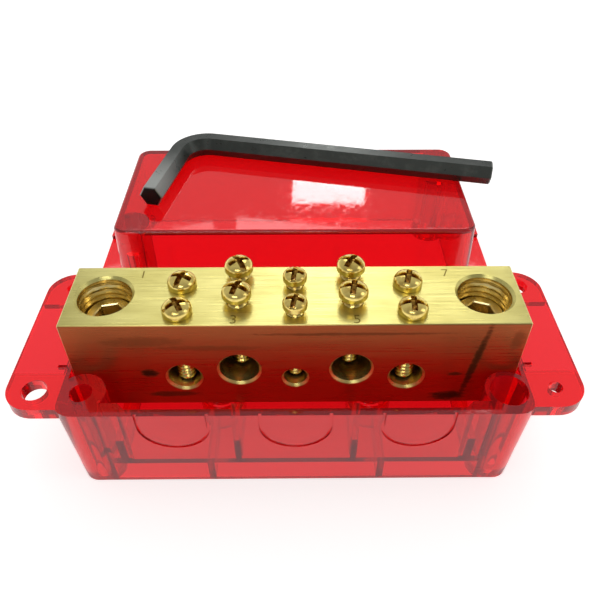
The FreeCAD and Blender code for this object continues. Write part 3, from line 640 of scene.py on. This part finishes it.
@dataclass(frozen=True)
class PanScrew:
    """A pan-headed screw with a cross and slot recess and a rolled thread."""

    node: str
    body: str
    turn_deg: float
    # Across the crests of the thread
    thread_mm: float = 4.7
    pitch_mm: float = 1.06
    thread_depth_mm: float = 0.55
    head_height_mm: float = 2.9
    side_height_mm: float = 1.0
    crown_power: float = 2.05
    recess_scale: float = 1.0
    cross_length_mm: float = 4.5
    cross_width_mm: float = 1.05
    cross_depth_mm: float = 1.8
    slot_length_mm: float = 5.9
    slot_depth_mm: float = 0.8
    wall_mm: float = 0.2
    # The head's lower edge, the tip's bevel, and how far the shank reaches into the head
    edge_mm: float = 0.15
    bevel_mm: float = 0.5
    into_head_mm: float = 0.2
    # How much of their depth the cross and the slot lose by their ends
    cross_fall: float = 0.5
    slot_fall: float = 0.25
    # Painted shade in the thread's roots
    root_shade: float = 0.85
    crown_rows: int = 74
    head_columns: int = 144
    shank_columns: int = 40
    steps_a_pitch: int = 9

    def arm(self, along: np.ndarray, across: np.ndarray, length: float, depth: float,
            fall: float) -> np.ndarray:
        """Depth of one straight groove: full in its middle, falling off to its ends, steep walls.

        Depth times (1 - fall a / (length / 2)), where a is the distance along it, times a clipped
        ramp as wide as the wall at its sides and at its ends.

        Args:
            along: the distance along the groove from its middle.
            across: the distance across it.
            length: the groove's length.
            depth: its depth in the middle.
            fall: the share of that depth which is gone at its ends.

        Returns:
            The depth at each place.
        """
        width = self.cross_width_mm * self.recess_scale
        inside_width = np.clip((width / 2 - np.abs(across)) / self.wall_mm + 0.5, 0.0, 1.0)
        inside_length = np.clip((length / 2 - np.abs(along)) / self.wall_mm + 0.5, 0.0, 1.0)
        slope = 1.0 - fall * np.clip(np.abs(along) / (length / 2), 0.0, 1.0)
        return depth * slope * inside_width * inside_length

    def recess(self, radius: np.ndarray, angle: np.ndarray) -> np.ndarray:
        """Depth of the cross and of the long slot: the deepest of three grooves.

        Args:
            radius: each place's distance from the axis.
            angle: each place's angle in radians.

        Returns:
            The depth at each place of the crown.
        """
        turned = angle - math.radians(self.turn_deg)
        along, across = radius * np.cos(turned), radius * np.sin(turned)
        length = self.cross_length_mm * self.recess_scale
        slot = self.slot_length_mm * self.recess_scale
        grooves = [
            self.arm(along, across, length, self.cross_depth_mm, self.cross_fall),
            self.arm(across, along, length, self.cross_depth_mm, self.cross_fall),
            self.arm(along, across, slot, self.slot_depth_mm, self.slot_fall),
        ]
        return np.maximum.reduce(grooves)

    def head(self, radius_mm: float) -> Shell:
        """The head: a flat underside, an upright side, and a crown less its recess.

        The crown rises by (1 - (r / R)^p)^(1 / p) of its height.

        Args:
            radius_mm: the head's radius R.

        Returns:
            The head about its underside's middle.
        """
        angle = np.linspace(0.0, 2 * math.pi, self.head_columns, endpoint=False)
        edge = self.edge_mm
        side_r, side_z = outline([
            (0.0, 0.0, radius_mm - edge, 0.0, 4),
            (radius_mm - edge, 0.0, radius_mm, edge, 3),
            (radius_mm, edge, radius_mm, self.side_height_mm, 6),
        ])
        crown_r = radius_mm * np.sin(np.linspace(math.pi / 2, 0.0, self.crown_rows))[1:]
        crown = (1.0 - (crown_r / radius_mm) ** self.crown_power) ** (1.0 / self.crown_power)
        crown_z = self.side_height_mm + (self.head_height_mm - self.side_height_mm) * crown
        radius = np.concatenate([side_r, crown_r])[:, None] * np.ones_like(angle)
        height = np.concatenate([side_z, crown_z])[:, None] * np.ones_like(angle)
        on_crown = len(side_r)
        # The recess's depth also sets its painted shade, full from 1 mm down
        sunk_shade = np.zeros_like(radius)
        sunk_shade[on_crown:] = self.recess(radius[on_crown:], angle)
        return closed_lathe(radius, height - sunk_shade, angle, np.clip(sunk_shade, 0.0, 1.0))

    def shank(self, length_mm: float) -> Shell:
        """The threaded shank: a helical V ridge that runs out at the tip, its top inside the head.

        At height z and angle a the ridge stands by its share of lap z / pitch - a / (2 pi).

        Args:
            length_mm: the shank's length below the head.

        Returns:
            The shank about the middle of the head's underside.
        """
        angle = np.linspace(0.0, 2 * math.pi, self.shank_columns, endpoint=False)
        crest = self.thread_mm / 2
        bevel = self.bevel_mm
        top = self.into_head_mm
        steps = int(length_mm / self.pitch_mm * self.steps_a_pitch)
        radius, height = outline([
            (0.0, -length_mm, crest - bevel, -length_mm, 3),
            (crest - bevel, -length_mm, crest, -length_mm + bevel, 3),
            (crest, -length_mm + bevel, crest, top, steps),
            (crest, top, 0.0, top, 2),
        ])
        lap = height[:, None] / self.pitch_mm - angle / (2 * math.pi)
        on_side = np.clip((radius - crest + bevel) / bevel, 0.0, 1.0)[:, None]
        # The flat end inside the head has no ridge
        on_side = on_side * (height[:, None] < top)
        cut = self.thread_depth_mm * (1.0 - ridge(lap)) * on_side
        full = radius[:, None] * np.ones_like(angle)
        # Painted shade darkens the thread's roots
        dark = self.root_shade * cut / self.thread_depth_mm
        return closed_lathe(full - cut, height[:, None] * np.ones_like(angle), angle, dark)

    def build(self, material: bpy.types.Material) -> bpy.types.Object:
        """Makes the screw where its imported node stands, in that node's stead.

        Args:
            material: its finish.

        Returns:
            The screw.
        """
        low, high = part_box(self.node)
        radius_mm = (high.x - low.x) / 2 / MM
        underside_mm = high.z / MM - self.head_height_mm
        length_mm = underside_mm - low.z / MM
        middle = (low + high) / 2 / MM
        shell = self.head(radius_mm).joined(self.shank(length_mm))
        piece = object_from(f"{self.node}_threaded", shell, (middle.x, middle.y, underside_mm),
                            self.body, material)
        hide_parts(self.node)
        return piece


@dataclass(frozen=True)
class SocketScrew:
    """A headless screw with a hexagon socket, threaded over its whole length."""

    node: str
    body: str
    turn_deg: float
    # Radius of the thread's crests, and the socket's width across its flats
    crest_mm: float = 5.55
    socket_mm: float = 6.2
    thread_depth_mm: float = 0.4
    pitch_mm: float = 1.5
    socket_depth_mm: float = 4.5
    bevel_mm: float = 0.5
    lip_mm: float = 0.25
    cone_mm: float = 0.5
    # At half its width the drill's cone has gone down by this share
    half_way_down: float = 0.6
    # Painted shade in the thread's roots
    root_shade: float = 0.6
    # How much painted shade darkens the socket at its lip, down its sides and over its cone
    socket_shade: tuple[float, ...] = (0.0, 0.1, 0.45, 0.8, 0.9, 0.9)
    side_steps: int = 48
    columns: int = 120

    def hexagon(self, angle: np.ndarray) -> np.ndarray:
        """Distance from the axis to the socket's wall.

        Half the width across flats over the cosine of the angle from the nearest flat's middle.

        Args:
            angle: the angles in radians.

        Returns:
            The distance at each angle.
        """
        sixth = math.pi / 3
        turned = np.mod(angle - math.radians(self.turn_deg), sixth) - sixth / 2
        return self.socket_mm / 2 / np.cos(turned)

    def build(self, material: bpy.types.Material) -> bpy.types.Object:
        """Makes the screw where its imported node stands, in that node's stead.

        Args:
            material: its finish.

        Returns:
            The screw.
        """
        low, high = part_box(self.node)
        tall = (high.z - low.z) / MM
        angle = np.linspace(0.0, 2 * math.pi, self.columns, endpoint=False)
        crest, bevel, lip = self.crest_mm, self.bevel_mm, self.lip_mm
        side_r, side_z = outline([
            (0.0, -tall, crest - bevel, -tall, 3),
            (crest - bevel, -tall, crest, -tall + bevel, 3),
            (crest, -tall + bevel, crest, -bevel, self.side_steps),
            (crest, -bevel, crest - bevel, 0.0, 3),
        ])
        lap = side_z[:, None] / self.pitch_mm - angle / (2 * math.pi)
        on_side = np.clip((side_r - crest + bevel) / bevel, 0.0, 1.0)[:, None]
        outer = side_r[:, None] - self.thread_depth_mm * (1.0 - ridge(lap)) * on_side
        socket = self.hexagon(angle)
        floor = -self.socket_depth_mm
        half_way = floor - self.half_way_down * self.cone_mm
        # The lip, three rows of the upright sides, and the drill's cone under them
        rows_r = [socket + lip, socket, socket, socket, socket / 2, socket * 0.0]
        rows_z = [0.0, -lip, floor / 2, floor, half_way, floor - self.cone_mm]
        radius = np.vstack([outer, np.array(rows_r)])
        height = np.outer(np.concatenate([side_z, rows_z]), np.ones_like(angle))
        # Painted shade in the thread's roots and down the socket
        thread_shade = self.root_shade * (side_r[:, None] - outer) / self.thread_depth_mm
        socket_shade = np.outer(self.socket_shade, np.ones_like(angle))
        shell = closed_lathe(radius, height, angle, np.vstack([thread_shade, socket_shade]))
        middle = (low + high) / 2 / MM
        piece = object_from(f"{self.node}_threaded", shell, (middle.x, middle.y, high.z / MM),
                            self.body, material)
        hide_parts(self.node)
        return piece


@dataclass(frozen=True)
class TappedWall:
    """The thread cut into the wall of one of the bar's two large holes."""

    name: str
    x_mm: float
    y_mm: float
    low_mm: float
    high_mm: float
    # Radii of the bare bore and of the thread's crests
    bore_mm: float = 6.0
    crest_mm: float = 5.6
    pitch_mm: float = 1.5
    behind_mm: float = 0.05
    # Painted shade in the roots between the ridges
    root_shade: float = 0.5
    columns: int = 96
    steps_a_pitch: int = 12

    def build(self, material: bpy.types.Material) -> bpy.types.Object:
        """Makes a ring with a helical V ridge inside and a plain wall just within the bar's metal.

        The inner radius is the bore's, less the ridge's share of (bore - crest), which fades over
        the top pitch.

        Args:
            material: its finish.

        Returns:
            The ring.
        """
        angle = np.linspace(0.0, 2 * math.pi, self.columns, endpoint=False)
        steps = int((self.high_mm - self.low_mm) / self.pitch_mm * self.steps_a_pitch)
        rise = np.linspace(self.low_mm, self.high_mm, steps)[:, None]
        lap = rise / self.pitch_mm - angle / (2 * math.pi)
        run_out = np.clip((self.high_mm - rise) / self.pitch_mm, 0.0, 1.0)
        inner = self.bore_mm - (self.bore_mm - self.crest_mm) * ridge(lap) * run_out
        outer = np.full((2, self.columns), self.bore_mm + self.behind_mm)
        radius = np.vstack([inner[::-1], outer])
        height = np.vstack([rise[::-1] * np.ones_like(angle), np.full((1, self.columns), self.low_mm),
                            np.full((1, self.columns), self.high_mm)])
        points = np.stack([radius * np.cos(angle), radius * np.sin(angle), height], axis=2).reshape(-1, 3)
        # Painted shade darkens the roots between the ridges
        cut = np.clip((radius - self.crest_mm) / (self.bore_mm - self.crest_mm), 0.0, 1.0)
        shell = Shell(points, grid_faces(len(radius), self.columns, closed_rows=True).tolist(),
                      self.root_shade * cut.ravel())
        return object_from(self.name, shell, (self.x_mm, self.y_mm, 0.0), ROOT_BODY,
                           material)


@dataclass(frozen=True)
class StampedDigit:
    """A plain number that is punched into the top of the bar beside its ways."""

    text: str
    x_mm: float
    y_mm: float
    type_size_mm: float = 3.64
    depth_mm: float = 0.02
    thinned_mm: float = 0.03

    def build(self, top_mm: float, material: bpy.types.Material) -> bpy.types.Object:
        """Makes the number as a thin dark mark on the bar's top.

        Args:
            top_mm: the height of the bar's top.
            material: its finish.

        Returns:
            The mark.
        """
        name = f"number_{self.text}"
        curve = bpy.data.curves.new(name, "FONT")
        curve.body = self.text
        curve.size = self.type_size_mm * MM
        curve.extrude = self.depth_mm * MM / 2
        curve.offset = -self.thinned_mm * MM
        curve.align_x = "CENTER"
        curve.align_y = "CENTER"
        text = bpy.data.objects.new(f"{name}_text", curve)
        bpy.context.scene.collection.objects.link(text)
        graph = bpy.context.evaluated_depsgraph_get()
        mesh = bpy.data.meshes.new_from_object(text.evaluated_get(graph))
        bpy.data.objects.remove(text)
        mesh.transform(Matrix.Translation(Vector((self.x_mm, self.y_mm, top_mm)) * MM))
        mesh.materials.clear()
        mesh.materials.append(material)
        piece = bpy.data.objects.new(name, mesh)
        bpy.context.scene.collection.objects.link(piece)
        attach(piece, ROOT_BODY)
        return piece


def dress(node: str, material: bpy.types.Material) -> None:
    """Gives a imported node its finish, in the slots that it has."""
    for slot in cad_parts[node].material_slots:
        slot.material = material


@dataclass
class Case:
    """Base and cover, both of the same clear red moulding."""

    nodes: tuple[str, ...] = ("base_housing", "cover_housing")
    finish: RedPolycarbonate = field(default_factory=RedPolycarbonate)

    def build(self) -> None:
        """Dresses both mouldings."""
        material = self.finish.build()
        for node in self.nodes:
            dress(node, material)
            log.info("dressed %s", node)


@dataclass
class LinkBar:
    """The bar with its tapped walls and its stamped numbers."""

    node: str = "link_bar"
    finish: DrawnBrass = field(default_factory=DrawnBrass)
    # The threads begin at this height over the end tunnels and stop under the bevelled mouths
    tapped_low_mm: float = 27.8
    mouth_bevel_mm: float = 0.6
    # Cut brass: brighter than the drawn skin, with only light painted shade in its roots
    tapped_finish: TurnedBrass = TurnedBrass(name="tapped_brass", colour="#fdeaa4", tarnish="#d8b864",
                                             sunk_shade="#b8924c", dent_depth_mm=0.01, low_roughness=0.16)
    # Brass crushed by the punch: dull and darker than the face round it
    mark_finish: TurnedBrass = TurnedBrass(name="stamped_mark", colour="#8f7e3c", tarnish="#6a5a28",
                                           low_roughness=0.4, high_roughness=0.6)
    digits: tuple[StampedDigit, ...] = (
        StampedDigit("1", -34.6, 4.5), StampedDigit("3", -13.1, -10.2),
        StampedDigit("5", 13.1, -10.3), StampedDigit("7", 34.3, 4.6),
    )

    def build(self) -> None:
        """Dresses the bar and adds what is cut and stamped into it."""
        low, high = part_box(self.node)
        dress(self.node, self.finish.build(low, high))
        top_mm = high.z / MM
        tapped = self.tapped_finish.build()
        for side in ("left", "right"):
            bottom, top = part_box(f"mains_screw_{side}")
            middle = (bottom + top) / 2 / MM
            wall = TappedWall(f"tapped_wall_{side}", middle.x, middle.y, self.tapped_low_mm,
                              top_mm - self.mouth_bevel_mm)
            wall.build(tapped)
            log.info("made %s", wall.name)
        mark = self.mark_finish.build()
        for digit in self.digits:
            digit.build(top_mm, mark)
            log.info("stamped number %s", digit.text)


@dataclass
class Screws:
    """All the screws of the block."""

    clamp_turns: tuple[tuple[float, float], ...] = (
        (29.0, 70.0), (-20.0, -61.0), (75.0, 80.0), (-10.0, -30.0), (-3.0, -15.0),
    )
    mains_turns: tuple[float, float] = (12.0, 41.0)
    middle_way: int = 3
    finish: TurnedBrass = field(default_factory=TurnedBrass)
    # Freshly broached brass: paler and more even than the tumbled screws, with painted shade in its
    # socket and roots
    socket_finish: TurnedBrass = TurnedBrass(name="socket_brass", colour="#fff0b4", tarnish="#f2dc9c",
                                             sunk_shade="#8c6626", low_roughness=0.24, high_roughness=0.36)

    def build(self) -> None:
        """Makes the clamp screws and the end screws, and dresses the two under the bar."""
        material = self.finish.build()
        for way, turns in enumerate(self.clamp_turns, start=1):
            for row, turn in zip(("front", "rear"), turns):
                node = f"clamp_screw_{way}_{row}"
                if way == self.middle_way:
                    screw = PanScrew(node, node, turn, thread_mm=3.9, pitch_mm=0.79,
                                     thread_depth_mm=0.42, head_height_mm=2.5, side_height_mm=1.1,
                                     recess_scale=0.85)
                else:
                    screw = PanScrew(node, node, turn)
                screw.build(material)
                log.info("made %s", node)
        socket = self.socket_finish.build()
        for side, turn in zip(("left", "right"), self.mains_turns):
            node = f"mains_screw_{side}"
            SocketScrew(node, node, turn).build(socket)
            log.info("made %s", node)
            fixing = f"bar_fixing_screw_{side}"
            dress(fixing, material)
            log.info("dressed %s", fixing)


@dataclass
class HexKey:
    """The hexagon key that lies on the cover."""

    node: str = "hex_key"
    finish: BlackOxideSteel = field(default_factory=BlackOxideSteel)

    def build(self) -> None:
        """Dresses the key."""
        dress(self.node, self.finish.build())
        log.info("dressed %s", self.node)


@dataclass(frozen=True)
class SoftBox:
    """A rectangular lamp that faces a point."""

    name: str
    place: tuple[float, float, float]
    aim: tuple[float, float, float]
    width: float
    height: float
    radiance: float

    def build(self) -> None:
        """Makes the lamp; its power is radiance times pi times its area."""
        light = bpy.data.lights.new(self.name, "AREA")
        light.shape = "RECTANGLE"
        light.size = self.width
        light.size_y = self.height
        light.energy = self.radiance * math.pi * self.width * self.height
        lamp = bpy.data.objects.new(self.name, light)
        lamp.location = self.place
        lamp.rotation_euler = (Vector(self.aim) - Vector(self.place)).to_track_quat("-Z", "Y").to_euler()
        bpy.context.scene.collection.objects.link(lamp)


@dataclass
class Studio:
    """White floor, soft surroundings, lamps and the photograph's camera."""

    floor_half: float = 3.0
    floor_drop_mm: float = 0.05
    floor_colour: str = "#f4f3f1"
    floor_lift: float = 0.58
    # In metal and through plastic the lit floor needs less to look white
    mirrored_lift: float = 0.45
    white: str = "#ffffff"
    upper_level: float = 0.5
    front_level: float = 0.3
    # The sine of the elevation at which the horizon's white starts to fade, and has faded
    fade_sine: tuple[float, float] = (0.08, 0.4)
    # How far towards the rear the front's level ends, and the upper level is reached
    turn_to_rear: tuple[float, float] = (-0.7, 0.3)
    camera_mm: tuple[float, float, float] = (0.3, -103.7, 133.8)
    camera_down_deg: float = 42.87
    camera_turn_deg: float = -0.45
    focal_px: float = 622.5
    frame_px: float = 600.0
    sensor_mm: float = 36.0
    clip: tuple[float, float] = (0.01, 20.0)
    lamps: tuple[SoftBox, ...] = (
        SoftBox("window_lamp", (0.059, 0.845, 0.505), (0.0, 0.05, 0.03), 0.127, 0.105, 10.0),
        SoftBox("rear_lamp", (0.12, 0.72, 0.72), (0.0, 0.0, 0.03), 0.5, 0.3, 2.4),
        SoftBox("rear_left_lamp", (-0.23, 0.72, 0.72), (0.0, 0.0, 0.03), 0.22, 0.3, 1.6),
        SoftBox("side_lamp", (0.8, -0.1, 0.55), (0.0, 0.0, 0.03), 0.3, 0.5, 1.2),
        SoftBox("front_lamp", (-0.12, -0.5, 0.62), (0.0, 0.0, 0.03), 0.36, 0.2, 3.2),
    )

    def build_floor(self) -> None:
        """A wide floor that keeps the shadow and looks white, also in metal and through plastic."""
        half = self.floor_half
        level = -self.floor_drop_mm * MM
        corners = [(-half, -half, level), (half, -half, level), (half, half, level), (-half, half, level)]
        mesh = bpy.data.meshes.new("floor")
        mesh.from_pydata(corners, [], [(0, 1, 2, 3)])
        floor = bpy.data.objects.new("floor", mesh)
        bpy.context.scene.collection.objects.link(floor)
        material, tree = new_material("white_sweep_card")
        card = add_node(tree, "BsdfDiffuse", {"Color": linear(self.floor_colour)})
        rays = add_node(tree, "LightPath").node.outputs
        mirrored = add_node(tree, "Math", {
            0: rays["Is Glossy Ray"], 1: rays["Is Transmission Ray"],
        }, operation="MAXIMUM")
        less = add_node(tree, "Math", {0: mirrored, 1: self.mirrored_lift}, operation="MULTIPLY")
        lift = add_node(tree, "Math", {
            0: rays["Is Camera Ray"], 1: self.floor_lift, 2: less,
        }, operation="MULTIPLY_ADD")
        glow = add_node(tree, "Emission", {"Color": linear(self.white), "Strength": lift})
        add_node(tree, "OutputMaterial", {"Surface": add_node(tree, "AddShader", {0: card, 1: glow})})
        mesh.materials.append(material)

    def build_sky(self) -> None:
        """Surroundings by direction: white at the horizon, softer above, darkest on the viewer's side."""
        world = bpy.data.worlds.new("surroundings")
        world.use_nodes = True
        tree = world.node_tree
        tree.nodes.clear()
        direction = add_node(tree, "TexCoord", output="Generated")
        axes = add_node(tree, "SeparateXYZ", {"Vector": direction}).node.outputs
        upper = add_node(tree, "MapRange", {
            "Value": axes["Y"], "From Min": self.turn_to_rear[0], "From Max": self.turn_to_rear[1],
            "To Min": self.front_level, "To Max": self.upper_level,
        }, interpolation_type="SMOOTHSTEP")
        share = add_node(tree, "MapRange", {
            "Value": axes["Z"], "From Min": self.fade_sine[0], "From Max": self.fade_sine[1],
        }, interpolation_type="SMOOTHSTEP")
        less = add_node(tree, "Math", {0: upper, 1: 1.0}, operation="SUBTRACT")
        strength = add_node(tree, "Math", {0: share, 1: less, 2: 1.0}, operation="MULTIPLY_ADD")
        glow = add_node(tree, "Background", {"Color": linear(self.white), "Strength": strength})
        add_node(tree, "OutputWorld", {"Surface": glow})
        bpy.context.scene.world = world

    def build_camera(self) -> None:
        """The photograph's camera: its place, angles and focal length in pixels of a 600-pixel frame."""
        data = bpy.data.cameras.new("camera")
        data.sensor_width = self.sensor_mm
        data.lens = self.focal_px / self.frame_px * self.sensor_mm
        data.clip_start, data.clip_end = self.clip
        camera = bpy.data.objects.new("camera", data)
        camera.location = Vector(self.camera_mm) * MM
        camera.rotation_euler = (math.radians(90.0 - self.camera_down_deg), 0.0,
                                 math.radians(self.camera_turn_deg))
        bpy.context.scene.collection.objects.link(camera)
        bpy.context.scene.camera = camera

    def build(self) -> None:
        """Sets up everything round the object."""
        self.build_camera()
        self.build_floor()
        self.build_sky()
        for lamp in self.lamps:
            lamp.build()
        bpy.context.scene.view_settings.view_transform = "Standard"
        log.info("set up camera, floor, surroundings and %d lamps", len(self.lamps))


def main() -> None:
    """Builds the studio and every piece, and reports each one."""
    logging.basicConfig(level=logging.INFO, format="%(message)s")
    Studio().build()
    for part in (Case(), LinkBar(), Screws(), HexKey()):
        part.build()


if __name__ == "__main__":
    main()
